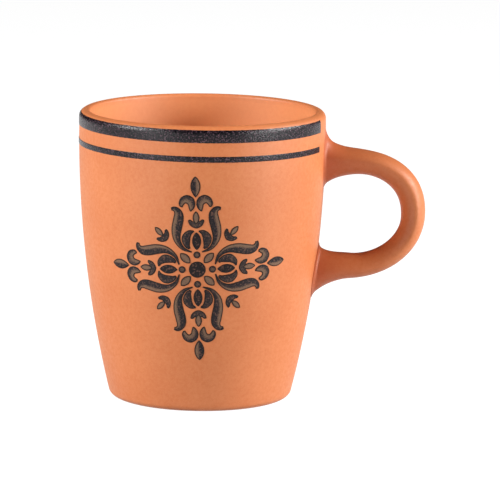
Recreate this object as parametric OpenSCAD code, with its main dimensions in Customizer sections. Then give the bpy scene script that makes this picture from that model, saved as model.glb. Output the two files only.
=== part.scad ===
// Tall espresso cup in terracotta glaze, with two dark rim stripes and a fourfold tulip ornament.
// Millimetres, Z up. The origin is on the cup's axis, on the plane that its foot ring stands on.
// The handle points along +X and the ornament faces -Y.

/* [Cup body] */
// Height from the table to the top of the lip
cup_h = 70.5; // [64:0.1:90]
// Widest outside diameter
cup_d = 60; // [50:0.5:75]
// Depth of the widest point below the lip
belly_drop = 6; // [4:0.1:15]
// Radius of the long arc that the outside of the wall bows along
bow_r = 265; // [230:1:330]
// Radius of the long arc that the inside of the wall bows along
inner_bow_r = 230; // [200:1:300]
// Wall thickness at the widest point
wall_t = 2.6; // [2:0.1:4]
// Rounding on the outside of the lip
lip_out_r = 1.8; // [1:0.01:2.2]
// Height of the inside floor above the table
floor_z = 6; // [4:0.1:9]
// Rounding between the inside floor and the wall
floor_r = 8; // [4:0.5:12]

/* [Foot ring] */
// Rounding between the wall and the foot ring
foot_r = 1.9; // [1:0.1:4]
// Width of the flat ring that the cup stands on
foot_ring_w = 3.2; // [2:0.1:5]
// Depth of the recess inside the foot ring
recess_h = 1.5; // [0.8:0.1:2.5]
// How far the recess draws in from the table to its top
recess_draft = 0.9; // [0.3:0.1:2]

/* [Handle] */
// Depth of the handle's middle below the lip
handle_drop = 25.05; // [20:0.05:35]
// Length of the level arms between the wall and the loop
arm_l = 6; // [4:0.5:10]
// How far the loop's middle line reaches beyond the arms
loop_reach = 15.55; // [12:0.05:20]
// Height from the loop's middle to the middle line of either arm
loop_rise = 12.9; // [11.5:0.05:17]
// Squareness of the loop's upper corner, where 2 is an ellipse
loop_power = 2.28; // [2:0.02:2.6]
// Fall of the lower arm towards the wall, for each millimetre of its length
arm_fall = 0.27; // [0:0.01:0.4]
// Thickness of the handle as seen from the side
handle_t = 5.7; // [4.5:0.1:8]
// How much the handle thickens on each side at the loop's upper corner
loop_swell = 0.2; // [0:0.05:0.6]
// Width of the handle as seen from its outer side
handle_w = 8; // [6:0.1:11]
// How much the arms thicken on each side as they near the wall
flare_t = 3.1; // [1.5:0.1:4]
// Distance over which that flare dies away
flare_l = 3.4; // [2:0.1:5]
// Fillet where the arms meet the wall
root_fillet = 0.8; // [0.6:0.1:2.4]
// Fillet above the upper arm, where it meets the wall
top_fillet = 2.1; // [0.6:0.1:3]
// Thickness of the clay slip that bonds each arm to the wall
slip_t = 0.35; // [0.2:0.05:0.6]

/* [Rim stripes] */
// Thickness of the fired print on the glaze
print_t = 0.1; // [0.06:0.01:0.2]
// Bare lip above the wide stripe
wide_band_drop = 0.82; // [0.5:0.02:2]
// Height of the wide stripe
wide_band_h = 3; // [2:0.1:5]
// Bare glaze between the two stripes
band_gap = 3.26; // [2:0.02:5]
// Height of the narrow stripe
narrow_band_h = 1.39; // [0.8:0.01:3]
// Angle from the handle to each end of the wide stripe
wide_band_end = 17; // [15:0.5:30]
// Angle from the handle to each end of the narrow stripe
narrow_band_end = 18.5; // [15:0.5:30]

/* [Ornament] */
// Bare glaze between the narrow stripe and the ornament
ornament_gap = 3.35; // [1.5:0.05:8]
// Length of each arm of the ornament from its centre
ornament_reach = 22.63; // [18:0.01:24]
// Turn of the ornament on the wall
ornament_turn = 1.7; // [-5:0.1:5]
// Radius in which a level line of the flat print sweeps up round the tapering wall
ornament_sweep = 390; // [250:10:1000]

/* [Hidden] */

glaze = "#dc8450";
raw_clay = "#d9a07c";
print_ink = "#2f2a32";

// Facets of the long wall arcs, of the small roundings and of the turned forms
bow_fn = 1080;
round_fn = 64;
turn_fn = 360;

// Long arcs of the wall: their height and the distance of their centres from the axis
belly_z = cup_h - belly_drop;
bow_x = cup_d / 2 - bow_r;
inner_bow_x = cup_d / 2 - wall_t - inner_bow_r;

// The lip's outer rounding is limited to a share of its wall
lip_share = 0.8;
lip_out = min(lip_out_r, lip_share * wall_t);

// Outside radius of the wall at height z
function wall_r(z) = bow_x + sqrt(pow(bow_r, 2) - pow(z - belly_z, 2));

// Distance from the axis to the centre of a rounding of radius r at height z inside an arc
function inside_arc(arc_x, arc_r, r, z) = arc_x + sqrt(pow(arc_r - r, 2) - pow(z - belly_z, 2));

// Direction from the centre of an arc to a point on a rounding
function arc_angle(arc_x, p) = atan2(p[1] - belly_z, p[0] - arc_x);

foot_c = [inside_arc(bow_x, bow_r, foot_r, foot_r), foot_r];
floor_c = [inside_arc(inner_bow_x, inner_bow_r, floor_r, floor_z + floor_r), floor_z + floor_r];
lip_c = [inside_arc(bow_x, bow_r, lip_out, cup_h - lip_out), cup_h - lip_out];
// The lip's inner rounding takes the rest of the wall and meets the outer one at the top
lip_in = (pow(lip_c[0] - inner_bow_x, 2) - pow(inner_bow_r, 2) + pow(belly_drop, 2))
    / (2 * (inner_bow_r + belly_drop));
inner_lip_c = [lip_c[0], cup_h - lip_in];
recess_r = foot_c[0] - foot_ring_w;

// Wedge between two directions from c, long enough to take off the corner outside a rounding of radius r
module corner_wedge(c, r, from, to) {
    reach = 4 * r;
    fan = [for (i = [0:4]) let (a = from + (to - from) * i / 4) c + reach * [cos(a), sin(a)]];
    polygon(concat([c], fan));
}

module disc_at(c, r) {
    translate(c) circle(r, $fn = round_fn);
}

// Everything inside the outer surface, in section, grown outwards by g
module outer_section(g = 0) {
    intersection() {
        square([cup_d, cup_h + g]);
        union() {
            difference() {
                translate([bow_x, belly_z]) circle(bow_r + g, $fn = bow_fn);
                corner_wedge(foot_c, foot_r, -90, arc_angle(bow_x, foot_c));
                corner_wedge(lip_c, lip_out, arc_angle(bow_x, lip_c), 90);
            }
            disc_at(foot_c, foot_r + g);
            disc_at(lip_c, lip_out + g);
        }
    }
}

// The space inside the cup, in section
module cavity_section() {
    intersection() {
        translate([0, floor_z]) square([cup_d, cup_h]);
        union() {
            difference() {
                translate([inner_bow_x, belly_z]) circle(inner_bow_r, $fn = bow_fn);
                corner_wedge(floor_c, floor_r, -90, arc_angle(inner_bow_x, floor_c));
            }
            disc_at(floor_c, floor_r);
        }
    }
}

module recess_section() {
    polygon([[0, 0], [recess_r, 0], [recess_r - recess_draft, recess_h], [0, recess_h]]);
}

module cup_section() {
    difference() {
        outer_section();
        cavity_section();
        recess_section();
        corner_wedge(inner_lip_c, lip_in, 90, 180 + arc_angle(inner_bow_x, inner_lip_c));
    }
    disc_at(inner_lip_c, lip_in);
}

module cup_body() {
    color(glaze) rotate_extrude($fn = turn_fn) cup_section();
}

// Layer of thickness t on the outside of the wall, in section
module layer_section(t) {
    difference() {
        outer_section(t);
        outer_section();
        translate([0, cup_h]) square([cup_d, 2 * t]);
    }
}

// That layer all round the cup
module wall_layer(t) {
    rotate_extrude($fn = turn_fn) layer_section(t);
}

// Handle: a loop on two arms, described by a middle line in the XZ plane and an egg-shaped section
handle_z = cup_h - handle_drop;
arm_end_x = cup_d / 2 + arm_l;
handle_sides = 28;
arm_rings = 12;
// Rings of each arm that reach from inside the wall to beyond the slip
root_rings = 4;
loop_rings = 34;
// How deep the loop's ends run into the wall before they are cut to it
root_depth = 1.2;
// Share of the half thickness by which the widest line of the section lies towards the outside
ridge_shift = 0.24;
// Fullness of the section, where 2 is an ellipse
section_power = 1.85;
// Distance from the wall at which the arms stop following its curve
wrap_l = 9;
// Direction from the loop's middle in which it is thickest
swell_angle = 30;

function sign_power(v, e) = sign(v) * pow(abs(v), e);

// Point of the loop's middle line at angle a, from 90 at the upper arm to -90 at the lower arm
function loop_point(a) =
    let (e = 2 / (a > 0 ? loop_power : 2))
    [arm_end_x + loop_reach * sign_power(cos(a), e), handle_z + loop_rise * sign_power(sin(a), e)];

// Outward direction of the middle line in the XZ plane at angle a
function loop_normal(a) =
    let (step = 0.5, d = loop_point(a - step) - loop_point(a + step))
    [-d[1], d[0]] / norm(d);

// How far a fillet of radius r stands out at distance d from the wall
function fillet(d, r) =
    let (bite = max(r - max(d, 0), 0))
    r - sqrt(pow(r, 2) - pow(bite, 2));

// How far the long flare stands out at distance d from the wall
function flare(d) = flare_t * exp(-max(d, 0) / flare_l);

// One ring of the section around a point of the middle line; n is the outward direction, outer_r the radius of
// the fillet on the outer side and swell the extra half thickness
function section_ring(c, n, d, outer_r, swell = 0) = [
    for (i = [0:handle_sides - 1])
        let (
            a = 360 * i / handle_sides,
            e = 2 / section_power,
            half_t = handle_t / 2 + swell + flare(d),
            half_w = handle_w / 2 + fillet(d, root_fillet),
            inner = half_t + fillet(d, root_fillet),
            outer = half_t + fillet(d, outer_r),
            ridge = ridge_shift * inner,
            side = cos(a) > 0 ? outer - ridge : inner + ridge,
            out = ridge + side * sign_power(cos(a), e),
            y = half_w * sign_power(sin(a), e),
            p = c + out * n,
            follow = max(0, 1 - d / wrap_l),
            dx = wall_x(y, p[1]) - wall_x(0, c[1])
        )
        [p[0] + follow * dx, y, p[1]]
];

// X of the wall's outside at side offset y and height z
function wall_x(y, z) = sqrt(pow(wall_r(z), 2) - pow(y, 2));

// Distances from the wall of the rings along an arm. The first ones lie half a slip away from both faces of
// the slip, so that each face cuts between two rings, and the rest spread out towards the loop.
ring_crowding = 1.6;
near_gaps = [-root_depth, -slip_t / 2, slip_t / 2, slip_t * 3 / 2];
last_near = len(near_gaps) - 1;
function arm_gap(i, length) =
    i <= last_near
        ? near_gaps[i]
        : near_gaps[last_near] + (length - near_gaps[last_near])
            * pow((i - last_near) / (arm_rings - last_near), ring_crowding);

upper_arm_z = handle_z + loop_rise;
lower_arm_z = handle_z - loop_rise;
upper_arm_gap = arm_end_x - wall_r(upper_arm_z);
lower_arm_gap = arm_end_x - wall_r(lower_arm_z);

handle_rings = concat(
    [for (i = [0:arm_rings - 1])
        let (d = arm_gap(i, upper_arm_gap))
        section_ring([wall_r(upper_arm_z) + d, upper_arm_z], [0, 1], d, top_fillet)],
    [for (i = [0:loop_rings])
        let (
            a = 90 - 180 * i / loop_rings,
            c = loop_point(a),
            swell = loop_swell * max(cos(2 * (a - swell_angle)), 0)
        )
        section_ring(c, loop_normal(a), c[0] - wall_r(c[1]), root_fillet, swell)],
    [for (i = [arm_rings - 1:-1:0])
        let (
            d = arm_gap(i, lower_arm_gap),
            back = lower_arm_gap - d,
            fall = arm_fall * back * back / (back + arm_l)
        )
        section_ring([wall_r(lower_arm_z) + d, lower_arm_z - fall], [0, -1], d, root_fillet)]
);

function middle(ring) = [for (p = ring) 1] * ring / len(ring);

// Skin over a list of rings with equal counts of points, closed at both ends
module loft(rings) {
    n = len(rings[0]);
    last = len(rings) - 1;
    sides = [
        for (i = [0:last - 1], j = [0:n - 1], half = [0, 1])
            let (k = (j + 1) % n, a = i * n + j, b = i * n + k)
            half == 0 ? [a, b, b + n] : [a, b + n, a + n]
    ];
    first_mid = (last + 1) * n;
    first_cap = [for (j = [0:n - 1]) [first_mid, (j + 1) % n, j]];
    last_cap = [for (j = [0:n - 1]) [first_mid + 1, last * n + j, last * n + (j + 1) % n]];
    mids = [middle(rings[0]), middle(rings[last])];
    polyhedron(concat([for (r = rings) each r], mids), concat(sides, first_cap, last_cap));
}

module handle() {
    color(glaze) difference() {
        loft(handle_rings);
        rotate_extrude($fn = turn_fn) outer_section(slip_t);
    }
}

// The bonding slip on one arm: what the arm's root would fill of a thin layer on the wall
module slip_joint(first_ring) {
    intersection() {
        loft([for (i = [0:root_rings]) handle_rings[first_ring + i]]);
        wall_layer(slip_t);
    }
}

module upper_slip_joint() {
    color(raw_clay) slip_joint(0);
}

module lower_slip_joint() {
    color(raw_clay) slip_joint(len(handle_rings) - 1 - root_rings);
}

// Rim stripes
wide_band_top = cup_h - wide_band_drop;
narrow_band_top = wide_band_top - wide_band_h - band_gap;

// A stripe round the wall below its top height, open by the end angle on both sides of the handle
module rim_band(top, height, end_angle) {
    rotate(end_angle) rotate_extrude(angle = 360 - 2 * end_angle, $fn = turn_fn) intersection() {
        layer_section(print_t);
        translate([0, top - height]) square([cup_d, height]);
    }
}

module wide_rim_band() {
    color(print_ink) rim_band(wide_band_top, wide_band_h, wide_band_end);
}

module narrow_rim_band() {
    color(print_ink) rim_band(narrow_band_top, narrow_band_h, narrow_band_end);
}

// Ornament: drawn flat around its centre, with p across an arm and q outwards along it
ornament_z = narrow_band_top - narrow_band_h - ornament_gap - ornament_reach;
// The drawing's own arm length; the whole drawing is scaled from it
drawn_reach = 22.5;
ornament_scale = ornament_reach / drawn_reach;
arms = [0, 90, 180, 270];
diagonals = [45, 135, 225, 315];
curve_steps = 4;
leaf_steps = 12;
disc_steps = 32;
// Least width that a brush stroke tapers to
least_stroke = 0.1;

// A point of the flat drawing turned by angle a and wrapped on the wall, as X and Z
function on_wall(p, a) =
    let (
        t = a + ornament_turn,
        s = ornament_scale * (p[0] * cos(t) - p[1] * sin(t)),
        rise = ornament_scale * (p[0] * sin(t) + p[1] * cos(t)),
        z = ornament_z + rise + s * s / (2 * ornament_sweep)
    )
    [wall_r(z) * sin(s / wall_r(z) * 180 / PI), z];

function mirrored(points, side) = side > 0 ? points : [for (p = points) [-p[0], p[1]]];

// Smooth curve through knots, each of any number of values
function curve_at(a, b, c, d, t) =
    (2 * b + (c - a) * t + (2 * a - 5 * b + 4 * c - d) * t * t + (3 * b - a - 3 * c + d) * t * t * t) / 2;

function open_curve(knots) =
    let (last = len(knots) - 1)
    [
        for (i = [0:last - 1], k = [0:curve_steps - 1])
            curve_at(knots[max(i - 1, 0)], knots[i], knots[i + 1], knots[min(i + 2, last)], k / curve_steps),
        knots[last]
    ];

function closed_curve(knots) =
    let (n = len(knots))
    [
        for (i = [0:n - 1], k = [0:curve_steps - 1])
            let (before = knots[(i + n - 1) % n], after = knots[(i + 2) % n])
            curve_at(before, knots[i], knots[(i + 1) % n], after, k / curve_steps)
    ];

// Brush stroke: an outline on both sides of a spine whose knots hold p, q and the width there
function stroke(knots) =
    let (
        c = open_curve(knots),
        last = len(c) - 1,
        sides = [
            for (i = [0:last])
                let (d = c[min(i + 1, last)] - c[max(i - 1, 0)], across = [-d[1], d[0]] / norm([d[0], d[1]]))
                across * max(c[i][2], least_stroke) / 2
        ]
    )
    concat(
        [for (i = [0:last]) [c[i][0], c[i][1]] + sides[i]],
        [for (i = [last:-1:0]) [c[i][0], c[i][1]] - sides[i]]
    );

// Leaf between q0 and q1, of width w; skew above 1 puts its widest place nearer to q1
function leaf(q0, q1, w, skew = 1) =
    let (half = [
        for (i = [0:leaf_steps])
            let (t = (1 - cos(180 * i / leaf_steps)) / 2, u = pow(t, skew))
            [w / 2 * pow(4 * u * (1 - u), leaf_fullness), q0 + (q1 - q0) * t]
    ])
    concat(half, [for (i = [leaf_steps - 1:-1:1]) [-half[i][0], half[i][1]]]);

function disc(q, r) =
    [for (i = [0:disc_steps - 1]) let (a = 360 * i / disc_steps) [r * cos(a), q + r * sin(a)]];

// Cup of a bud: round below, with two lobes and a shallow brim, for radius 1
bud_outline = [
    [-1.06, 0.08], [-0.8, -0.6], [0, -1], [0.8, -0.6], [1.06, 0.08],
    [0.75, 0.2], [0.4, -0.02], [-0.4, -0.02], [-0.75, 0.2]
];
function bud_cup(q, r) = closed_curve([for (p = bud_outline) r * p + [0, q]]);

// Knots of the strokes: p, q and width
outer_petal = [
    [1.2, 4.3, 0.3], [3.1, 5.05, 0.85], [4.3, 6.45, 1.4], [4.78, 8, 1.95], [4.7, 9.9, 2.45],
    [4.25, 12, 2.5], [4.15, 13.4, 2.2], [4.6, 14.35, 1.6], [5.3, 14.7, 1.15], [5.9, 14.6, 0.7]
];
inner_petal = [
    [0.55, 9.35, 0.3], [1.6, 9, 1.35], [2.4, 8, 2], [2.5, 7, 2], [2.2, 5.8, 1.3], [1.65, 5.1, 0.5]
];
// Outline of a scroll: leg, crown, hook and the arch inside it
scroll = [
    [1.3, 14.1], [0.42, 14.9], [0.12, 16.1], [0.6, 17.4], [2, 18.1], [3.45, 17.5],
    [4.05, 16.25], [3.85, 15.35], [3.25, 15.1], [2.95, 15.55], [2.45, 16.05], [1.9, 15.75], [1.7, 15]
];
// Power that rounds the sides of a leaf, where 1 is a pointed lens and 0.5 an ellipse
leaf_fullness = 0.75;
disc_r = 1.98;
dot_q = 3.6;
dot_r = 0.84;
petal_leaf = leaf(2.3, 5.6, 1.95);
heart_leaf = leaf(4.8, 9.05, 2.15);
tip_leaf = leaf(17.5, drawn_reach, 2.35, 1.08);
bud_leaf = leaf(11, 14.15, 1.6);
bud_q = 11.8;
bud_r = 1.8;
corner_leaf = leaf(11.4, 14.2, 1.4);
corner_q = 11.7;
corner_r = 1.75;

// The part of the print that lies under the flat outlines drawn as children
module print_on_wall() {
    color(print_ink) intersection() {
        wall_layer(print_t);
        rotate([90, 0, 0]) linear_extrude(cup_d) children();
    }
}

// One outline on the wall at each of the angles
module around(angles, outline) {
    for (a = angles)
        polygon([for (p = outline) on_wall(p, a)]);
}

// An outline and its mirror image on every arm
module paired(outline) {
    for (side = [-1, 1])
        around(arms, mirrored(outline, side));
}

module ornament_disc() {
    print_on_wall() around([0], disc(0, disc_r));
}

module ornament_dots() {
    print_on_wall() around(arms, disc(dot_q, dot_r));
}

module ornament_petals() {
    print_on_wall() around(diagonals, petal_leaf);
}

module tulip_outer_petals() {
    print_on_wall() paired(stroke(outer_petal));
}

module tulip_inner_petals() {
    print_on_wall() paired(stroke(inner_petal));
}

module tulip_hearts() {
    print_on_wall() around(arms, heart_leaf);
}

module tulip_buds() {
    print_on_wall() {
        around(arms, bud_leaf);
        around(arms, bud_cup(bud_q, bud_r));
    }
}

module ornament_scrolls() {
    print_on_wall() paired(closed_curve(scroll));
}

module ornament_tips() {
    print_on_wall() around(arms, tip_leaf);
}

module corner_buds() {
    print_on_wall() {
        around(diagonals, corner_leaf);
        around(diagonals, bud_cup(corner_q, corner_r));
    }
}

cup_body();
handle();
upper_slip_joint();
lower_slip_joint();
wide_rim_band();
narrow_rim_band();
ornament_disc();
ornament_dots();
ornament_petals();
tulip_outer_petals();
tulip_inner_petals();
tulip_hearts();
tulip_buds();
ornament_scrolls();
ornament_tips();
corner_buds();
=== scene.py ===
# Tall espresso cup in satin terracotta glaze, with two dark rim stripes and a fourfold tulip ornament.
# The handle points along +X and the ornament faces -Y. Sizes are in millimetres, and they turn into metres
# where an object is made.
import math

import bpy
import numpy as np
from mathutils import Matrix, Vector, noise


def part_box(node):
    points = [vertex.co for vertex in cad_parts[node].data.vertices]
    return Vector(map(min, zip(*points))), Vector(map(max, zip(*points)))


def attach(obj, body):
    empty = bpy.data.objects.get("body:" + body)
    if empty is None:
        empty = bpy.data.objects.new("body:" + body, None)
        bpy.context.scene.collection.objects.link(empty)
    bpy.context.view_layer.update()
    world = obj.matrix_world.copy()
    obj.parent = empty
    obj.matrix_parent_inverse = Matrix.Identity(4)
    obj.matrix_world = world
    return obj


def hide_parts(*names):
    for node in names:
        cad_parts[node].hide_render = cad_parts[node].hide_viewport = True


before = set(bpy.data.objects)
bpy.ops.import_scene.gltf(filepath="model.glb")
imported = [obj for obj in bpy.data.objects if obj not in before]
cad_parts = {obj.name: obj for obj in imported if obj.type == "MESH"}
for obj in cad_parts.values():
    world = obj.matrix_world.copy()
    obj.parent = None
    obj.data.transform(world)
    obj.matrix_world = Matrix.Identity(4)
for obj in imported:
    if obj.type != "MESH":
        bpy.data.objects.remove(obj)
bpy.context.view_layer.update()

MM = 0.001
TINY = 1e-6
# Edges that turn by more degrees than this are shaded sharp
SHARP_ANGLE = 50

# Cup body
body_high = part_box("cup_body")[1]
CUP_H = body_high.z / MM
CUP_R = body_high.x / MM
BELLY_Z = CUP_H - 6
BOW_R = 265
INNER_BOW_R = 230
WALL_T = 2.6
LIP_OUT = 1.8
FLOOR_Z = 6
FLOOR_R = 8
FOOT_R = 1.9
FOOT_RING_W = 3.2
RECESS_H = 1.5
RECESS_DRAFT = 0.9
RECESS_EDGE_R = 0.4
# Points along the stretches of the body's section, and round it
FLAT_STEPS = 14
EDGE_STEPS = 8
RING_STEPS = 8
FOOT_STEPS = 16
WALL_STEPS = 72
LIP_STEPS = 16
INNER_LIP_STEPS = 12
INNER_WALL_STEPS = 60
FLOOR_STEPS = 20
BODY_SEGMENTS = 288

# Handle
HANDLE_Z = CUP_H - 25.05
ARM_L = 6
ARM_END_X = CUP_R + ARM_L
LOOP_REACH = 15.55
LOOP_RISE = 12.9
# The loop's upper half is a little squarer than its round lower half
UPPER_POWER = 2.28
LOWER_POWER = 2
LOOP_SWELL = 0.2
SWELL_ANGLE = 30
ARM_FALL = 0.27
HANDLE_T = 5.7
HANDLE_W = 8
FLARE_T = 3.1
FLARE_L = 3.4
ROOT_FILLET = 0.8
TOP_FILLET = 2.1
SLIP_T = 0.35
RIDGE_SHIFT = 0.24
SECTION_POWER = 1.85
WRAP_L = 9
# How far the slip reaches into the wall, so that no gap shows along its edge
SLIP_BITE = 0.3
HANDLE_SIDES = 72
LOOP_RINGS = 120
ARM_RINGS = 36
ARM_CROWDING = 2
SLIP_RINGS = 12

# Rim stripes: heights, the angles from the handle at which they end, and their dip towards the handle
PRINT_T = 0.1
WIDE_TOP = CUP_H - 0.82
WIDE_H = 3
BAND_GAP = 3.26
NARROW_TOP = WIDE_TOP - WIDE_H - BAND_GAP
NARROW_H = 1.39
WIDE_END = 17
NARROW_END = 18.5
BAND_DIP = 0.42
BAND_STEPS = 1200
BAND_ROWS = 9
# Unevenness of the stripes' printed edges and the length over which it changes
RAGGED = 0.05
RAGGED_L = 0.3

# Ornament: its reach on the wall and in the flat drawing, its lean and the sweep of its arms
ORNAMENT_GAP = 3.35
ORNAMENT_REACH = 22.63
DRAWN_REACH = 22.5
ORNAMENT_Z = NARROW_TOP - NARROW_H - ORNAMENT_GAP - ORNAMENT_REACH
ORNAMENT_TURN = 1.7
ORNAMENT_SWEEP = 390
ARMS = (0, 90, 180, 270)
DIAGONALS = (45, 135, 225, 315)
# Round shapes by their place along an arm and radius, leaves by their two ends and width
DISC = (0, 1.98)
DOT = (3.6, 0.84)
DIAGONAL_PETAL = (2.3, 5.6, 1.95)
HEART = (4.8, 9.05, 2.15)
TIP = (17.5, DRAWN_REACH, 2.35)
TIP_SKEW = 1.08
BUD_LEAF = (11, 14.15, 1.6)
BUD_CUP = (11.8, 1.8)
CORNER_LEAF = (11.4, 14.2, 1.4)
CORNER_CUP = (11.7, 1.75)
# Brush strokes by the knots of their spines, with the width at each
OUTER_PETAL = (
    (1.2, 4.3, 0.3), (3.1, 5.05, 0.85), (4.3, 6.45, 1.4), (4.78, 8, 1.95), (4.7, 9.9, 2.45),
    (4.25, 12, 2.5), (4.15, 13.4, 2.2), (4.6, 14.35, 1.6), (5.3, 14.7, 1.15), (5.9, 14.6, 0.7),
)
INNER_PETAL = (
    (0.55, 9.35, 0.3), (1.6, 9, 1.35), (2.4, 8, 2), (2.5, 7, 2), (2.2, 5.8, 1.3), (1.65, 5.1, 0.5),
)
# Closed outlines by their knots, and the place opposite the first knot, counted in knots
BUD_OUTLINE = (
    (-1.06, 0.08), (-0.8, -0.6), (0, -1), (0.8, -0.6), (1.06, 0.08),
    (0.75, 0.2), (0.4, -0.02), (-0.4, -0.02), (-0.75, 0.2),
)
BUD_FAR = 4
SCROLL_OUTLINE = (
    (1.3, 14.1), (0.42, 14.9), (0.12, 16.1), (0.6, 17.4), (2, 18.1), (3.45, 17.5),
    (4.05, 16.25), (3.85, 15.35), (3.25, 15.1), (2.95, 15.55), (2.45, 16.05), (1.9, 15.75), (1.7, 15),
)
SCROLL_FAR = 7.5
LEAF_FULLNESS = 0.75
ROUND = 0.5
LEAST_HALF_W = 0.04
# Thickness of a shape as a share of the print's, and of a bud's cup, which its leaf overlaps
FULL = 1
CUP_UNDER = 0.8
# Places across a printed shape, from one edge to the other, closer together near the edges
ACROSS = (-1, -0.9, -0.78, -0.62, -0.42, -0.2, 0, 0.2, 0.42, 0.62, 0.78, 0.9, 1)
# The print's edge is rounded off by this share of its thickness
EDGE_DROP = 0.4

# Colours as they should show, from 0 to 255, and how strongly each surface reflects
GLAZE_DARK = (211, 123, 71)
GLAZE_LIGHT = (217, 130, 78)
GLAZE_MOTTLE = (200, 99, 44)
GLAZE_GRAIN = (230, 147, 92)
# Paler glaze for the inside of the cup: painted light
GLAZE_INSIDE_LIT = (248, 170, 114)
# Darker, redder glaze for the handle's roots and arms: painted shade
GLAZE_PAINTED_SHADE = (166, 60, 18)
GLAZE_SPECULAR = 0.6
CLAY_DARK = (196, 138, 102)
CLAY_LIGHT = (222, 170, 134)
CLAY_SPECULAR = 0.5
STRIPE_DARK = (4, 2, 7)
STRIPE_LIGHT = (22, 14, 24)
STRIPE_SPECKS = (122, 92, 104)
STRIPE_SPECULAR = 0.33
WARM_BLACK = (20, 10, 9)
BLUE_BLACK = (23, 22, 29)
GREY_BROWN = (130, 101, 80)
ORNAMENT_SPECKS = (116, 84, 72)
ORNAMENT_OUTLINE = (20, 12, 10)
ORNAMENT_SPECULAR = 0.22
# How much painted light, as paler glaze, shows inside the cup, and the depth below the lip over which it
# comes in
INSIDE_PAINTED_LIGHT = 0.45
INSIDE_FADE = 1.5
# How much painted shade, as darker glaze, shows at the handle's roots, and its reach on the wall and along
# the arms
PAINTED_SHADE_SHARE = 0.62
PAINTED_SHADE_WALL_L = 0.6
PAINTED_SHADE_ARM_L = 9

# Camera, as the photograph was taken, with the image 500 pixels wide
TARGET = Vector((0, 0, 35))
CAMERA_DISTANCE = 1000
CAMERA_ELEVATION = 10.1
CAMERA_AZIMUTH = 1.84
CAMERA_ROLL = 0.72
CAMERA_LENS = 294.4
SENSOR_W = 36
AIM_RIGHT = 11.9
AIM_UP = 0.86

# Light: each softbox by its azimuth and elevation in degrees and its power in watts
SOFTBOXES = ((-68, 28, 8.4), (-42, 4, 1.6), (88, 26, 7.5), (64, 10, 4.2))
SOFTBOX_DISTANCE = 900
SOFTBOX_SIZE = (320, 220)
AMBIENT = 0.04
WHITE = (255, 255, 255)
FLOOR_SIZE = 8000
# Grey of the floor for the light that it throws back and where it is seen, and its glow where it is seen
FLOOR_BOUNCE = (168, 168, 168)
FLOOR_SEEN = (130, 130, 130)
FLOOR_GLOW = 0.92


def colour(shown):
    """A colour written as it should show, from 0 to 255, as a shader takes it."""
    share = np.array(shown) / 255
    linear = np.where(share <= 0.04045, share / 12.92, ((share + 0.055) / 1.055) ** 2.4)
    return (*(float(v) for v in linear), 1.0)


def fade(v, low, high):
    """0 below low, 1 above high and smooth between."""
    t = np.clip((v - low) / (high - low), 0, 1)
    return t * t * (3 - 2 * t)


class Tree:
    """A cleared node tree, with short calls that add nodes and join them."""

    def __init__(self, owner):
        owner.use_nodes = True
        self.tree = owner.node_tree
        self.tree.nodes.clear()

    def add(self, kind, inputs=None, **settings):
        """A node with these settings, whose inputs are values or the outputs of other nodes."""
        node = self.tree.nodes.new("ShaderNode" + kind)
        for name, value in settings.items():
            setattr(node, name, value)
        for key, value in (inputs or {}).items():
            if isinstance(value, bpy.types.NodeSocket):
                self.tree.links.new(value, node.inputs[key])
            else:
                node.inputs[key].default_value = value
        return node

    def noise(self, size, detail=2, roughness=0.5):
        """Noise whose patches are about this size, in millimetres, from 0 to 1."""
        place = self.add("TexCoord").outputs["Object"]
        inputs = {"Vector": place, "Scale": 1 / (size * MM), "Detail": detail, "Roughness": roughness}
        return self.add("TexNoise", inputs).outputs[0]

    def ranged(self, value, low, high, to_low=0.0, to_high=1.0):
        """The value moved smoothly from one range to another."""
        inputs = {"Value": value, 1: low, 2: high, 3: to_low, 4: to_high}
        return self.add("MapRange", inputs, interpolation_type="SMOOTHSTEP").outputs[0]

    def maths(self, operation, a, b):
        return self.add("Math", {0: a, 1: b}, operation=operation).outputs[0]

    def mix(self, share, a, b):
        return self.add("Mix", {0: share, 6: a, 7: b}, data_type="RGBA").outputs[2]

    def attribute(self, name):
        return self.add("Attribute", attribute_name=name).outputs["Fac"]

    def surface(self, base, roughness, specular, height, strength, depth):
        """The finished surface, with relief of this height, strength and depth in millimetres."""
        relief = self.add("Bump", {"Height": height, "Strength": strength, "Distance": depth * MM})
        inputs = {"Base Color": base, "Roughness": roughness, "Normal": relief.outputs[0]}
        shader = self.add("BsdfPrincipled", {**inputs, "Specular IOR Level": specular})
        self.finish(shader.outputs[0])

    def finish(self, shader, kind="Material"):
        self.add("Output" + kind, {"Surface": shader})


def glaze_material():
    """Satin terracotta glaze: faint clouds, a finer mottle and a grain, over an orange-peel surface. It is
    painted paler inside the cup as painted light, and darker and redder at the handle's roots and along its
    arms as painted shade."""
    material = bpy.data.materials.new("glaze")
    tree = Tree(material)
    clouds = tree.noise(size=14, detail=3)
    mottle = tree.noise(size=0.9, detail=4, roughness=0.6)
    grain = tree.noise(size=0.22)
    base = tree.mix(tree.ranged(clouds, 0.3, 0.7), colour(GLAZE_DARK), colour(GLAZE_LIGHT))
    base = tree.mix(tree.ranged(mottle, 0.3, 0.75, to_high=0.35), base, colour(GLAZE_MOTTLE))
    base = tree.mix(tree.ranged(grain, 0.52, 0.78, to_high=0.36), base, colour(GLAZE_GRAIN))
    # Painted light: the inside of the cup is painted paler
    inside_light = tree.maths("MULTIPLY", tree.attribute("inside"), INSIDE_PAINTED_LIGHT)
    base = tree.mix(inside_light, base, colour(GLAZE_INSIDE_LIT))
    # Painted shade: the handle's roots and arms, and the wall next to them, are painted darker
    root_shade = tree.maths("MULTIPLY", tree.attribute("painted_shade"), PAINTED_SHADE_SHARE)
    base = tree.mix(root_shade, base, colour(GLAZE_PAINTED_SHADE))
    roughness = tree.ranged(mottle, 0.25, 0.75, to_low=0.46, to_high=0.6)
    height = tree.maths("ADD", tree.maths("MULTIPLY", mottle, 0.6), tree.maths("MULTIPLY", grain, 0.4))
    tree.surface(base, roughness, GLAZE_SPECULAR, height, strength=0.45, depth=0.06)
    return material


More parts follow.
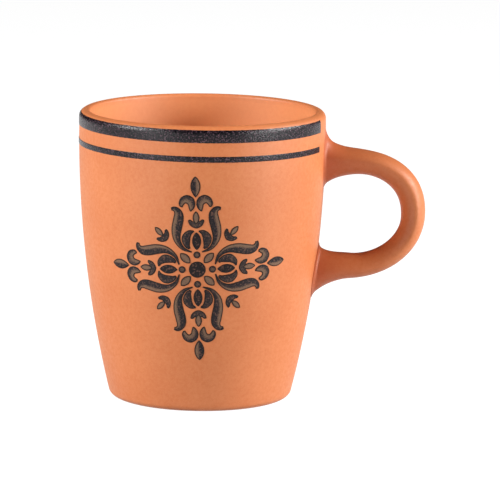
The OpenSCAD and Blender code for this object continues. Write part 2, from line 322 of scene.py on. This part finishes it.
def clay_material():
    """Bare fired clay on the foot ring: paler, dry and sandy."""
    material = bpy.data.materials.new("clay_slip")
    tree = Tree(material)
    sand = tree.noise(size=0.35, detail=4, roughness=0.7)
    base = tree.mix(tree.ranged(sand, 0.3, 0.7), colour(CLAY_DARK), colour(CLAY_LIGHT))
    roughness = tree.ranged(sand, 0.3, 0.7, to_low=0.75, to_high=0.92)
    tree.surface(base, roughness, CLAY_SPECULAR, sand, strength=0.6, depth=0.08)
    return material


def stripe_material():
    """Dark fired print with specks that glint where they turn to the light."""
    material = bpy.data.materials.new("stripe_print")
    tree = Tree(material)
    grain = tree.noise(size=0.2, detail=3, roughness=0.7)
    specks = tree.noise(size=0.34)
    base = tree.mix(tree.ranged(grain, 0.42, 0.66), colour(STRIPE_DARK), colour(STRIPE_LIGHT))
    base = tree.mix(tree.ranged(specks, 0.54, 0.66, to_high=0.55), base, colour(STRIPE_SPECKS))
    roughness = tree.ranged(grain, 0.3, 0.7, to_low=0.2, to_high=0.34)
    tree.surface(base, roughness, STRIPE_SPECULAR, specks, strength=0.9, depth=0.12)
    return material


def ornament_material():
    """Dark print shaded like an engraving: tone runs from warm black through blue-black to grey-brown, and
    rim is the distance to the outline, which is drawn darker."""
    material = bpy.data.materials.new("ornament_print")
    tree = Tree(material)
    grain = tree.noise(size=0.2, detail=3, roughness=0.7)
    specks = tree.noise(size=0.45)
    shift = tree.ranged(grain, 0.3, 0.7, to_low=-0.25, to_high=0.25)
    uneven = tree.maths("ADD", tree.attribute("tone"), shift)
    base = tree.mix(tree.ranged(uneven, 0.0, 0.3), colour(WARM_BLACK), colour(BLUE_BLACK))
    base = tree.mix(tree.ranged(uneven, 0.25, 1.0), base, colour(GREY_BROWN))
    base = tree.mix(tree.ranged(specks, 0.52, 0.68, to_high=0.65), base, colour(ORNAMENT_SPECKS))
    within = tree.ranged(tree.attribute("rim"), 0.1, 0.42)
    base = tree.mix(within, colour(ORNAMENT_OUTLINE), base)
    roughness = tree.ranged(grain, 0.3, 0.7, to_low=0.42, to_high=0.62)
    tree.surface(base, roughness, ORNAMENT_SPECULAR, grain, strength=0.6, depth=0.06)
    return material


def make_piece(name, points, faces, materials, nodes, values=None):
    """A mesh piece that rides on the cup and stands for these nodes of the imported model, with named values
    at its points for the materials."""
    mesh = bpy.data.meshes.new(name)
    mesh.from_pydata((np.asarray(points) * MM).tolist(), [], faces)
    for key, numbers in (values or {}).items():
        attribute = mesh.attributes.new(key, "FLOAT", "POINT")
        attribute.data.foreach_set("value", np.asarray(numbers, np.float32))
    for material in materials:
        mesh.materials.append(material)
    mesh.shade_smooth()
    mesh.set_sharp_from_angle(angle=math.radians(SHARP_ANGLE))
    piece = bpy.data.objects.new(name, mesh)
    bpy.context.scene.collection.objects.link(piece)
    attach(piece, "root")
    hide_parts(*nodes)
    return piece


def skin(count, n):
    """Faces between neighbours in a row of count rings, each of n points."""
    faces = []
    for i in range(count - 1):
        for j in range(n):
            k = (j + 1) % n
            faces.append((i * n + j, i * n + k, (i + 1) * n + k, (i + 1) * n + j))
    return faces


# Section of the cup
BOW_X = CUP_R - BOW_R
INNER_BOW_X = CUP_R - WALL_T - INNER_BOW_R


def wall_r(z):
    """Outside radius of the wall at height z."""
    return BOW_X + np.sqrt(BOW_R**2 - (z - BELLY_Z) ** 2)


def inside_arc(arc_x, arc_r, r, z):
    """Distance from the axis to the centre of a rounding of radius r at height z inside an arc."""
    return arc_x + math.sqrt((arc_r - r) ** 2 - (z - BELLY_Z) ** 2)


def arc_angle(arc_x, point):
    """Direction in degrees from the centre of a wall arc to a point."""
    return math.degrees(math.atan2(point[1] - BELLY_Z, point[0] - arc_x))


FOOT_C = (inside_arc(BOW_X, BOW_R, FOOT_R, FOOT_R), FOOT_R)
FLOOR_C = (inside_arc(INNER_BOW_X, INNER_BOW_R, FLOOR_R, FLOOR_Z + FLOOR_R), FLOOR_Z + FLOOR_R)
LIP_C = (inside_arc(BOW_X, BOW_R, LIP_OUT, CUP_H - LIP_OUT), CUP_H - LIP_OUT)
# Radius of the lip's inner rounding, which meets the outer one at the top and the inner wall
LIP_IN = ((LIP_C[0] - INNER_BOW_X) ** 2 - INNER_BOW_R**2 + (CUP_H - BELLY_Z) ** 2) / (
    2 * (INNER_BOW_R + CUP_H - BELLY_Z)
)
INNER_LIP_C = (LIP_C[0], CUP_H - LIP_IN)
RECESS_R = FOOT_C[0] - FOOT_RING_W
# Height at which the lip's outer rounding begins
LIP_Z = LIP_C[1] + LIP_OUT * math.sin(math.radians(arc_angle(BOW_X, LIP_C)))


def arc(centre, radius, start, end, steps):
    """Points of an arc in section, between two directions in degrees."""
    turns = np.radians(np.linspace(start, end, steps))
    return np.column_stack((centre[0] + radius * np.cos(turns), centre[1] + radius * np.sin(turns)))


def cup_section():
    """The cup in section, from the middle of its underside round the lip to the middle of its floor,
    and how many of the points come before and up to the end of the flat foot ring."""
    edge = RECESS_EDGE_R
    draft = math.degrees(math.atan2(RECESS_H, -RECESS_DRAFT))
    top_c = (RECESS_R - RECESS_DRAFT - edge, RECESS_H - edge)
    under = [
        np.linspace((0, RECESS_H), (top_c[0], RECESS_H), FLAT_STEPS),
        arc(top_c, edge, 90, draft - 90, EDGE_STEPS),
    ]
    ring_c = (RECESS_R + edge, edge)
    ring = [
        arc(ring_c, edge, draft + 90, 270, EDGE_STEPS),
        np.linspace((ring_c[0], 0), (FOOT_C[0], 0), RING_STEPS),
    ]
    foot_end = arc_angle(BOW_X, FOOT_C)
    lip_start = arc_angle(BOW_X, LIP_C)
    inner_start = arc_angle(INNER_BOW_X, INNER_LIP_C)
    floor_start = arc_angle(INNER_BOW_X, FLOOR_C)
    above = [
        arc(FOOT_C, FOOT_R, -90, foot_end, FOOT_STEPS),
        arc((BOW_X, BELLY_Z), BOW_R, foot_end, lip_start, WALL_STEPS),
        arc(LIP_C, LIP_OUT, lip_start, 90, LIP_STEPS),
        arc(INNER_LIP_C, LIP_IN, 90, 180 + inner_start, INNER_LIP_STEPS),
        arc((INNER_BOW_X, BELLY_Z), INNER_BOW_R, inner_start, floor_start, INNER_WALL_STEPS),
        arc(FLOOR_C, FLOOR_R, floor_start, -90, FLOOR_STEPS),
        np.linspace((FLOOR_C[0], FLOOR_Z), (0, FLOOR_Z), FLAT_STEPS),
    ]
    before = np.vstack(under)
    upto = np.vstack(under + ring)
    whole = np.vstack(under + ring + above)
    keep = np.r_[True, np.linalg.norm(np.diff(whole, axis=0), axis=1) > TINY]
    return whole[keep], int(keep[: len(before)].sum()), int(keep[: len(upto)].sum())


def painted_shade_on_wall(points):
    """How much painted shade, as darker glaze, lies at points of the wall next to the outlines of the
    handle's roots.
    """
    half_w = HANDLE_W / 2 + ROOT_FILLET
    most = np.zeros(len(points))
    for side in (1, -1):
        ring = np.array(arm_ring(side, 0))
        low, high = ring[:, 2].min(), ring[:, 2].max()
        across = points[:, 1] / half_w
        along = (points[:, 2] - (low + high) / 2) / ((high - low) / 2)
        beyond = np.maximum(np.hypot(across, along) - 1, 0) * half_w
        most = np.maximum(most, np.exp(-beyond / PAINTED_SHADE_WALL_L) * (points[:, 0] > 0))
    return most


def make_body(glaze, clay):
    """The turned body, of glaze all over but for the bare ring that it stands on."""
    section, ring_start, ring_end = cup_section()
    n = BODY_SEGMENTS
    # The section's two ends lie on the axis and close the body there
    rim = section[1:-1]
    turns = np.linspace(0, 2 * math.pi, n, endpoint=False)
    rings = [np.column_stack((r * np.cos(turns), r * np.sin(turns), np.full_like(turns, z))) for r, z in rim]
    points = np.vstack([*rings, [(0, 0, section[0][1])], [(0, 0, section[-1][1])]])
    faces = skin(len(rim), n)
    last = (len(rim) - 1) * n
    for j in range(n):
        k = (j + 1) % n
        faces.append((len(points) - 2, k, j))
        faces.append((len(points) - 1, last + j, last + k))
    bare = np.zeros(len(faces), np.int32)
    bare[(ring_start - 1) * n:(ring_end - 2) * n] = 1
    past_lip = np.arange(len(rim)) > rim[:, 1].argmax()
    # Painted light inside the cup, past the lip, as paler glaze
    depth = np.r_[np.repeat(past_lip * fade(CUP_H - rim[:, 1], 0, INSIDE_FADE), n), 0, 1]
    # Painted shade as darker glaze on the wall next to the handle's roots
    values = {"inside": depth, "painted_shade": (1 - depth) * painted_shade_on_wall(points)}
    piece = make_piece("cup_body_visual", points, faces, (glaze, clay), ("cup_body",), values)
    piece.data.polygons.foreach_set("material_index", bare)


# Handle
def wall_x(y, z):
    """X of the wall's outside at side offset y and height z."""
    return math.sqrt(wall_r(z) ** 2 - y**2)


def sign_power(value, power):
    return math.copysign(abs(value) ** power, value)


def loop_point(a):
    """Point of the loop's middle line at angle a, from 90 at the upper arm to -90 at the lower arm."""
    power = 2 / (UPPER_POWER if a > 0 else LOWER_POWER)
    x = ARM_END_X + LOOP_REACH * sign_power(math.cos(math.radians(a)), power)
    z = HANDLE_Z + LOOP_RISE * sign_power(math.sin(math.radians(a)), power)
    return np.array((x, z))


def loop_normal(a, step=0.5):
    """Outward direction of the middle line in the XZ plane at angle a."""
    along = loop_point(a - step) - loop_point(a + step)
    return np.array((-along[1], along[0])) / np.linalg.norm(along)


def fillet(d, r):
    """How far a fillet of radius r stands out at distance d from the wall."""
    bite = max(r - max(d, 0), 0)
    return r - math.sqrt(r**2 - bite**2)


def section_ring(centre, normal, d, outer_fillet=ROOT_FILLET, swell=0.0):
    """The handle's egg-shaped section round a point of its middle line, d away from the wall, with the
    fillet of its outer side and the extra half thickness there."""
    half_t = HANDLE_T / 2 + swell + FLARE_T * math.exp(-max(d, 0) / FLARE_L)
    half_w = HANDLE_W / 2 + fillet(d, ROOT_FILLET)
    inner = half_t + fillet(d, ROOT_FILLET)
    outer = half_t + fillet(d, outer_fillet)
    ridge = RIDGE_SHIFT * inner
    follow = max(0, 1 - d / WRAP_L)
    ring = []
    for i in range(HANDLE_SIDES):
        a = 2 * math.pi * i / HANDLE_SIDES
        side = outer - ridge if math.cos(a) > 0 else inner + ridge
        out = ridge + side * sign_power(math.cos(a), 2 / SECTION_POWER)
        y = half_w * sign_power(math.sin(a), 2 / SECTION_POWER)
        x, z = centre + out * normal
        ring.append((x + follow * (wall_x(y, z) - wall_x(0, centre[1])), y, z))
    return ring


def arm_ring(side, d):
    """One ring of the upper arm (side 1) or of the lower arm (side -1), which falls towards the wall."""
    level = HANDLE_Z + side * LOOP_RISE
    back = ARM_END_X - wall_r(level) - d
    fall = 0 if side > 0 else ARM_FALL * back**2 / (back + ARM_L)
    outer_fillet = TOP_FILLET if side > 0 else ROOT_FILLET
    return section_ring(np.array((wall_r(level) + d, level - fall)), np.array((0, side)), d, outer_fillet)


def loft(rings):
    """Points and faces of the skin over rings with equal counts of points, closed at both ends."""
    n = len(rings[0])
    faces = skin(len(rings), n)
    faces.append(tuple(range(n - 1, -1, -1)))
    faces.append(tuple(range((len(rings) - 1) * n, len(rings) * n)))
    return np.vstack(rings), faces


def painted_shade_on_ring(d):
    """How much painted shade, as darker glaze, lies round a ring of the handle, d away from the wall: most
    at the root.
    """
    return np.full(HANDLE_SIDES, math.exp(-max(d - SLIP_T, 0) / PAINTED_SHADE_ARM_L))


def make_handle(glaze):
    """The looped handle and the slip that bonds its two arms to the wall, under one glaze."""
    arms = {}
    arm_shades = {}
    for side in (1, -1):
        gap = ARM_END_X - wall_r(HANDLE_Z + side * LOOP_RISE)
        distances = SLIP_T + (gap - SLIP_T) * np.linspace(0, 1, ARM_RINGS) ** ARM_CROWDING
        arms[side] = [arm_ring(side, d) for d in distances[:-1]]
        # Painted shade along the arms, strongest at the roots
        arm_shades[side] = [painted_shade_on_ring(d) for d in distances[:-1]]
    loop = []
    loop_shades = []
    for a in np.linspace(90, -90, LOOP_RINGS):
        centre = loop_point(a)
        gap = centre[0] - wall_r(centre[1])
        swell = LOOP_SWELL * max(math.cos(math.radians(2 * (a - SWELL_ANGLE))), 0)
        loop.append(section_ring(centre, loop_normal(a), gap, swell=swell))
        # Painted shade along the loop, fading away from the wall
        loop_shades.append(painted_shade_on_ring(gap))
    points, faces = loft(arms[1] + loop + arms[-1][::-1])
    values = {"painted_shade": np.concatenate(arm_shades[1] + loop_shades + arm_shades[-1][::-1])}
    make_piece("handle_visual", points, faces, (glaze,), ("handle",), values)
    for side, node in ((1, "upper_slip_joint"), (-1, "lower_slip_joint")):
        depths = SLIP_T * np.linspace(0, 1, SLIP_RINGS) ** ARM_CROWDING
        rings = [arm_ring(side, d) for d in (-SLIP_BITE, *depths)]
        points, faces = loft(rings if side > 0 else rings[::-1])
        # The slips are painted shade all over
        values = {"painted_shade": np.ones(len(points))}
        make_piece(node + "_visual", points, faces, (glaze,), (node,), values)


# Rim stripes
def outer_r(z, lift):
    """Radius at height z of a layer of this thickness on the outside of the wall and lip."""
    if z < LIP_Z:
        return BOW_X + math.sqrt((BOW_R + lift) ** 2 - (z - BELLY_Z) ** 2)
    return LIP_C[0] + math.sqrt((LIP_OUT + lift) ** 2 - (z - LIP_C[1]) ** 2)


def ragged(turn, row):
    """Unevenness of a stripe's edge at an angle round the cup, with its own pattern for each row."""
    reach = CUP_R / RAGGED_L
    return RAGGED * noise.noise(Vector((reach * math.cos(turn), reach * math.sin(turn), row)))


def make_band(name, top, height, end, material):
    """A stripe of print round the wall, open behind the handle and dipping a little towards it."""
    shares = np.linspace(0, 1, BAND_ROWS)
    lifts = np.full(BAND_ROWS, PRINT_T)
    lifts[[0, -1]] *= 1 - EDGE_DROP
    rings = []
    for turn in np.radians(np.linspace(end, 360 - end, BAND_STEPS)):
        dip = CUP_R * math.tan(math.radians(BAND_DIP)) * math.cos(turn)
        low = top - height - dip + ragged(turn, top)
        high = top - dip + ragged(turn, top + height)
        heights = low + (high - low) * shares
        face = list(zip(heights, lifts))
        back = [(z, 0) for z in heights[::-1]]
        ring = []
        for z, lift in face + back:
            r = outer_r(z, lift)
            ring.append((r * math.cos(turn), r * math.sin(turn), z))
        rings.append(ring[::-1])
    points, faces = loft(rings)
    make_piece(name + "_visual", points, faces, (material,), (name,))


# Ornament: drawn flat round its centre, with p across an arm and q outwards along it
def on_wall(flat, turn, lift):
    """Points of the flat drawing, turned and laid on the wall with this lift."""
    t = math.radians(turn + ORNAMENT_TURN)
    p, q = flat.T * ORNAMENT_REACH / DRAWN_REACH
    s = p * math.cos(t) - q * math.sin(t)
    rise = p * math.sin(t) + q * math.cos(t)
    z = ORNAMENT_Z + rise + s**2 / (2 * ORNAMENT_SWEEP)
    r = wall_r(z)
    return np.column_stack(((r + lift) * np.sin(s / r), -(r + lift) * np.cos(s / r), z))


def smooth_curve(knots, steps, closed=False):
    """Smooth curve through knots, with this many steps between two of them."""
    knots = np.asarray(knots, float)
    n = len(knots)
    points = []
    for i in range(n if closed else n - 1):
        picks = [i - 1, i, i + 1, i + 2]
        a, b, c, d = (knots[k % n] if closed else knots[min(max(k, 0), n - 1)] for k in picks)
        square = 2 * a - 5 * b + 4 * c - d
        cube = 3 * b - a - 3 * c + d
        for t in np.arange(steps) / steps:
            points.append((2 * b + (c - a) * t + square * t**2 + cube * t**3) / 2)
    if not closed:
        points.append(knots[-1])
    return np.array(points)


def evenly(points, count):
    """A path of this many points, spread evenly along the given one."""
    lengths = np.r_[0, np.cumsum(np.linalg.norm(np.diff(points, axis=0), axis=1))]
    places = np.linspace(0, lengths[-1], count)
    return np.column_stack([np.interp(places, lengths, points[:, i]) for i in range(2)])


def leaf(q0, q1, width, skew=1.0, fullness=LEAF_FULLNESS, steps=32):
    """Left and right edges of a leaf between q0 and q1; skew above 1 puts its widest place nearer to q1."""
    t = (1 - np.cos(np.linspace(0, math.pi, steps))) / 2
    u = t**skew
    half = np.maximum(width / 2 * (4 * u * (1 - u)) ** fullness, LEAST_HALF_W)
    q = q0 + (q1 - q0) * t
    return np.column_stack((-half, q)), np.column_stack((half, q))


def disc(q, r):
    return leaf(q - r, q + r, 2 * r, fullness=ROUND)


def stroke(knots, steps=8):
    """Left and right edges of a brush stroke along a spine whose knots hold p, q and the width there."""
    spine = smooth_curve(knots, steps)
    along = np.gradient(spine[:, :2], axis=0)
    across = np.column_stack((-along[:, 1], along[:, 0])) / np.linalg.norm(along, axis=1)[:, None]
    half = np.maximum(spine[:, 2:] / 2, LEAST_HALF_W)
    return spine[:, :2] + across * half, spine[:, :2] - across * half


def between(knots, far, steps=8, count=40):
    """Two edges of a closed outline, both from its first knot to the place far, counted in knots."""
    points = smooth_curve(knots, steps, closed=True)
    points = np.vstack((points, points[:1]))
    split = round(far * steps)
    return evenly(points[: split + 1], count), evenly(points[split:][::-1], count)


def bud_cup(q, r):
    return between(np.array(BUD_OUTLINE) * r + (0, q), BUD_FAR)


# Tone of a printed shape at u along it and v across it: 0 is warm black, 0.3 blue-black and 1 grey-brown
def outer_side(u, v):
    return 0.25 + 0.65 * fade(v, -0.1, 0.55) * fade(u, 0.0, 0.25)


def plus_side(u, v):
    return 0.15 + 0.75 * fade(v, -0.3, 0.5)


def middle(u, v):
    return 0.9 - 0.5 * v**2


def spot(u, v):
    return 0.6 - 0.55 * np.clip(v**2 + (2 * u - 1) ** 2, 0, 1)


def arch_side(u, v):
    return 0.3 + 0.55 * fade(v, -0.6, 0.5)


def dusky(u, v):
    return 0.26 + 0.2 * fade(-v, 0.0, 0.7)


def grey(u, v):
    return 0.42


def dark(u, v):
    return 0.04


def outline(grid):
    """The values round the edge of a grid, in order."""
    return np.concatenate((grid[0, :-1], grid[:-1, -1], grid[-1, :0:-1], grid[:0:-1, 0]))


def rim_distance(grid):
    """Distance of each point of a grid of flat points from the grid's outline."""
    loop = outline(grid)
    step = np.roll(loop, -1, axis=0) - loop
    flat = grid.reshape(-1, 1, 2)
    share = np.clip(((flat - loop) * step).sum(2) / np.maximum((step**2).sum(1), TINY**2), 0, 1)
    away = np.linalg.norm(flat - loop - share[..., None] * step, axis=2)
    return away.min(axis=1)


def shell(rows, columns, start):
    """Faces of a closed shell over a grid of points and its copy underneath, in the order of rows."""
    at = np.arange(rows * columns).reshape(rows, columns) + start
    under = at + rows * columns
    faces = []
    for i in range(rows - 1):
        for j in range(columns - 1):
            faces.append((at[i, j], at[i, j + 1], at[i + 1, j + 1], at[i + 1, j]))
            faces.append((under[i + 1, j], under[i + 1, j + 1], under[i, j + 1], under[i, j]))
    loop = outline(at)
    for a, b in zip(loop, np.roll(loop, -1)):
        faces.append((a, a + rows * columns, b + rows * columns, b))
    return [tuple(int(k) for k in face) for face in faces]


def make_print(name, shapes, material):
    """One node's printed shapes on the wall. Each shape is its two edges, its angles, its mirroring,
    its tone and its thickness as a share of the print's."""
    points = []
    faces = []
    tones = []
    rims = []
    v = np.array(ACROSS)
    for edges, turns, mirrors, tone, share in shapes:
        left, right = edges
        grid = left[:, None] * (1 - v[:, None]) / 2 + right[:, None] * (1 + v[:, None]) / 2
        rows, columns = grid.shape[:2]
        u = np.linspace(0, 1, rows)
        shade = np.broadcast_to(tone(u[:, None], v[None, :]), (rows, columns)).ravel()
        rim = rim_distance(grid)
        lift = PRINT_T * share * np.where(rim < TINY, 1 - EDGE_DROP, 1)
        corner = grid[rows // 2, 0]
        area = np.cross(grid[rows // 2 + 1, 0] - corner, grid[rows // 2, -1] - corner)
        for mirror in mirrors:
            flat = grid.reshape(-1, 2) * (mirror, 1)
            for turn in turns:
                start = sum(len(p) for p in points)
                made = shell(rows, columns, start)
                faces += made if area * mirror < 0 else [face[::-1] for face in made]
                points += [on_wall(flat, turn, lift), on_wall(flat, turn, 0)]
                tones += [shade, shade]
                rims += [rim, rim]
    values = {"tone": np.concatenate(tones), "rim": np.concatenate(rims)}
    make_piece(name + "_visual", np.vstack(points), faces, (material,), (name,), values)


def make_ornament(material):
    """The printed medallion: each node's shapes, alone or in mirrored pairs, on the arms or between them."""
    upright = (0,)
    one = (1,)
    pair = (-1, 1)
    scroll = between(SCROLL_OUTLINE, SCROLL_FAR)
    prints = {
        "ornament_disc": [(disc(*DISC), upright, one, dark, FULL)],
        "ornament_dots": [(disc(*DOT), ARMS, one, spot, FULL)],
        "ornament_petals": [(leaf(*DIAGONAL_PETAL), DIAGONALS, one, middle, FULL)],
        "tulip_outer_petals": [(stroke(OUTER_PETAL), ARMS, pair, outer_side, FULL)],
        "tulip_inner_petals": [(stroke(INNER_PETAL), ARMS, pair, dusky, FULL)],
        "tulip_hearts": [(leaf(*HEART), ARMS, one, dark, FULL)],
        "ornament_scrolls": [(scroll, ARMS, pair, arch_side, FULL)],
        "ornament_tips": [(leaf(*TIP, TIP_SKEW), ARMS, one, plus_side, FULL)],
        "tulip_buds": [
            (leaf(*BUD_LEAF), ARMS, one, middle, FULL),
            (bud_cup(*BUD_CUP), ARMS, one, grey, CUP_UNDER),
        ],
        "corner_buds": [
            (leaf(*CORNER_LEAF), DIAGONALS, one, middle, FULL),
            (bud_cup(*CORNER_CUP), DIAGONALS, one, dusky, CUP_UNDER),
        ],
    }
    for name, shapes in prints.items():
        make_print(name, shapes, material)


def seen_ray(tree):
    """1 for rays that show the floor to the camera, straight or by reflection, and 0 for rays of light."""
    path = tree.add("LightPath").outputs
    direct = tree.maths("MAXIMUM", path["Is Camera Ray"], path["Is Glossy Ray"])
    return tree.maths("MAXIMUM", direct, path["Is Transmission Ray"])


def make_stage():
    """A plain white floor that keeps a soft shadow, in dim surroundings."""
    half = FLOOR_SIZE * MM / 2
    mesh = bpy.data.meshes.new("floor")
    corners = [(-half, -half, 0), (half, -half, 0), (half, half, 0), (-half, half, 0)]
    mesh.from_pydata(corners, [], [(0, 1, 2, 3)])
    material = bpy.data.materials.new("floor")
    tree = Tree(material)
    seen = seen_ray(tree)
    shade = tree.mix(seen, colour(FLOOR_BOUNCE), colour(FLOOR_SEEN))
    paper = tree.add("BsdfDiffuse", {"Color": shade})
    strength = tree.maths("MULTIPLY", seen, FLOOR_GLOW)
    glow = tree.add("Emission", {"Color": colour(WHITE), "Strength": strength})
    tree.finish(tree.add("AddShader", {0: paper.outputs[0], 1: glow.outputs[0]}).outputs[0])
    mesh.materials.append(material)
    floor = bpy.data.objects.new("floor", mesh)
    bpy.context.scene.collection.objects.link(floor)

    world = bpy.data.worlds.new("studio")
    bpy.context.scene.world = world
    tree = Tree(world)
    sky = tree.add("Background", {"Color": colour(WHITE), "Strength": AMBIENT})
    tree.finish(sky.outputs[0], "World")


def facing(eye, target, roll=0.0):
    """Place of an object at eye with its -Z towards the target, turned about that line by roll degrees."""
    turn = (eye - target).to_track_quat("Z", "Y").to_matrix().to_4x4()
    return Matrix.Translation(eye * MM) @ turn @ Matrix.Rotation(math.radians(roll), 4, "Z")


def direction(azimuth, elevation):
    """Unit vector from the cup towards this azimuth, from the front and to the right, and elevation."""
    a, e = math.radians(azimuth), math.radians(elevation)
    return Vector((math.sin(a) * math.cos(e), -math.cos(a) * math.cos(e), math.sin(e)))


def make_lights():
    """The softboxes, all of one size and facing the cup."""
    for i, (azimuth, elevation, power) in enumerate(SOFTBOXES):
        lamp = bpy.data.lights.new(f"softbox_{i + 1}", "AREA")
        lamp.shape = "RECTANGLE"
        lamp.size = SOFTBOX_SIZE[0] * MM
        lamp.size_y = SOFTBOX_SIZE[1] * MM
        lamp.energy = power
        place = bpy.data.objects.new(lamp.name, lamp)
        bpy.context.scene.collection.objects.link(place)
        place.matrix_world = facing(TARGET + SOFTBOX_DISTANCE * direction(azimuth, elevation), TARGET)


def make_camera():
    """The photograph's camera: a long lens, a little above the cup, aimed right of its axis."""
    toward = direction(CAMERA_AZIMUTH, CAMERA_ELEVATION)
    right = Vector((0, 0, 1)).cross(toward).normalized()
    up = toward.cross(right)
    data = bpy.data.cameras.new("camera")
    data.lens = CAMERA_LENS
    data.sensor_width = SENSOR_W
    camera = bpy.data.objects.new("camera", data)
    bpy.context.scene.collection.objects.link(camera)
    aim = TARGET + AIM_RIGHT * right + AIM_UP * up
    camera.matrix_world = facing(TARGET + CAMERA_DISTANCE * toward, aim, CAMERA_ROLL)
    bpy.context.scene.camera = camera


make_camera()
glaze = glaze_material()
make_body(glaze, clay_material())
make_handle(glaze)
stripe = stripe_material()
make_band("wide_rim_band", WIDE_TOP, WIDE_H, WIDE_END, stripe)
make_band("narrow_rim_band", NARROW_TOP, NARROW_H, NARROW_END, stripe)
make_ornament(ornament_material())
make_stage()
make_lights()
bpy.context.scene.view_settings.view_transform = "Standard"
